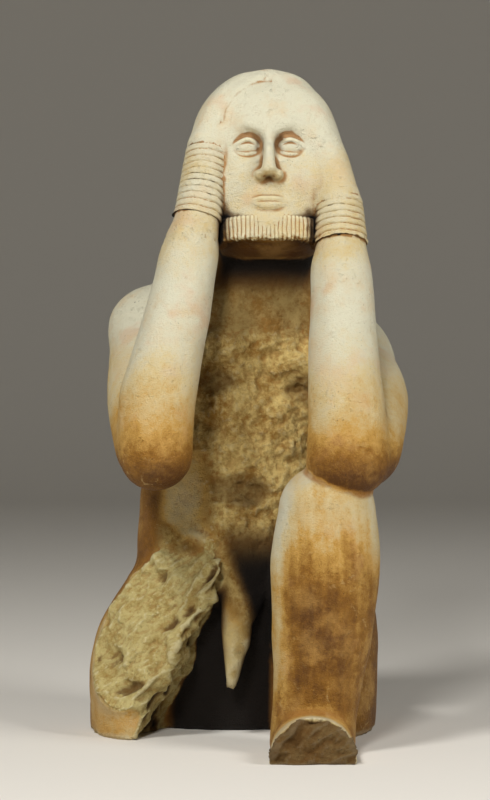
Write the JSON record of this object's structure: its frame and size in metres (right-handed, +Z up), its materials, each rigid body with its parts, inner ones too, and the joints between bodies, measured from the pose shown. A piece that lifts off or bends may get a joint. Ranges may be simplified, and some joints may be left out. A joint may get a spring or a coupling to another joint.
{
  "type": "terracotta figurine",
  "caption": "Squatting bearded man in fired clay, head thrown back, hands flat on the sides of the head, one leg and the toes of the other foot broken away.",
  "frame": {"origin": "middle of the figure's box at floor level, under the seat", "axes": "+Z up the figure to the crown, -Y the way he faces, +X to his own left"},
  "size_m": [0.192, 0.1884, 0.4],
  "materials": {
    "fired_clay": "burnished tan slip, worn matt and pitted, coarse grey-brown clay at the breaks"
  },
  "bodies": {
    "root": {"figure": "fired_clay"}
  },
  "joints": []
}
